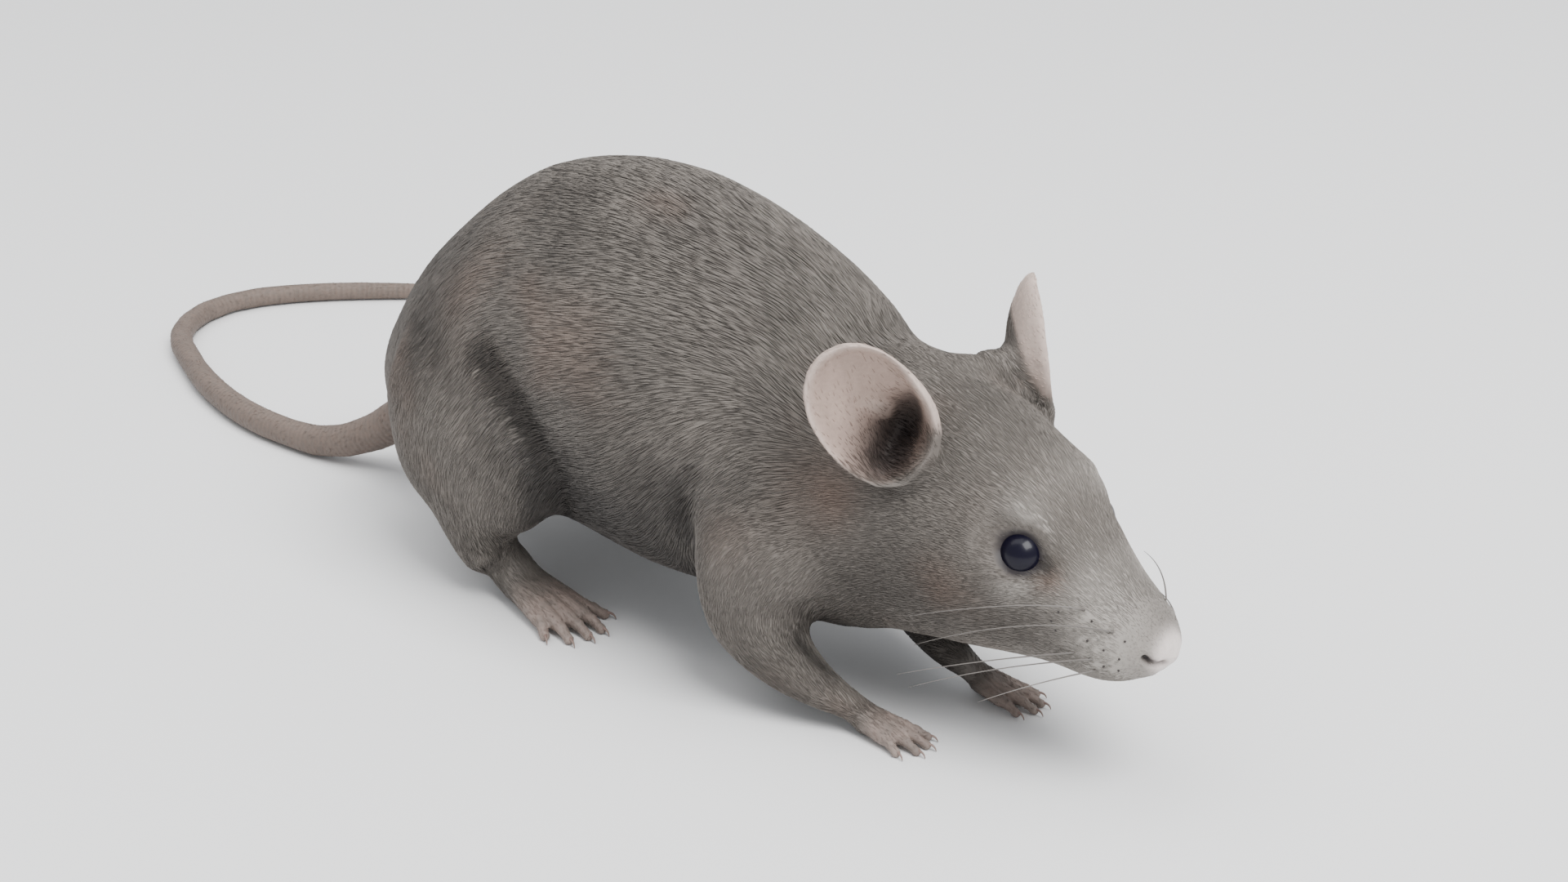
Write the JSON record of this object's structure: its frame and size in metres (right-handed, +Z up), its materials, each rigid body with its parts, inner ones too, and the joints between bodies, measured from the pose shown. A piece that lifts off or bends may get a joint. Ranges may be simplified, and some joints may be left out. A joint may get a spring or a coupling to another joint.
{
  "type": "house mouse model",
  "caption": "Life-size still model of a grey mouse standing on all fours, head low, round upright ears, long bare tail laid in a loop on the floor.",
  "frame": {"origin": "middle of the whole model's box, on the floor under its soles", "axes": "+X from rump to nose, +Y to the mouse's left, +Z up"},
  "size_m": [0.125, 0.0498, 0.0337],
  "materials": {
    "fur": "short flat matte coat",
    "bare_skin": "satin",
    "ear_skin": "satin",
    "tail_skin": "satin, faintly ringed",
    "nose_skin": "satin",
    "eye": "wet gloss",
    "claw": "horn"
  },
  "bodies": {
    "root": {"trunk": "fur", "neck": "fur", "head": "fur", "nose": "nose_skin", "ear_left": "ear_skin", "ear_right": "ear_skin", "eye_left": "eye", "eye_right": "eye", "foreleg_left": "fur", "foreleg_right": "fur", "forefoot_left": "bare_skin", "forefoot_right": "bare_skin", "hindleg_left": "fur", "hindleg_right": "fur", "hindfoot_left": "bare_skin", "hindfoot_right": "bare_skin", "tail_root": "tail_skin", "tail_fore": "tail_skin", "tail_middle": "tail_skin", "tail_hind": "tail_skin", "tail_tip": "tail_skin", "claw_forefoot_left_1": "claw", "claw_forefoot_left_2": "claw", "claw_forefoot_left_3": "claw", "claw_forefoot_left_4": "claw", "claw_forefoot_right_1": "claw", "claw_forefoot_right_2": "claw", "claw_forefoot_right_3": "claw", "claw_forefoot_right_4": "claw", "claw_hindfoot_left_1": "claw", "claw_hindfoot_left_2": "claw", "claw_hindfoot_left_3": "claw", "claw_hindfoot_left_4": "claw", "claw_hindfoot_left_5": "claw", "claw_hindfoot_right_1": "claw", "claw_hindfoot_right_2": "claw", "claw_hindfoot_right_3": "claw", "claw_hindfoot_right_4": "claw", "claw_hindfoot_right_5": "claw"}
  },
  "joints": []
}
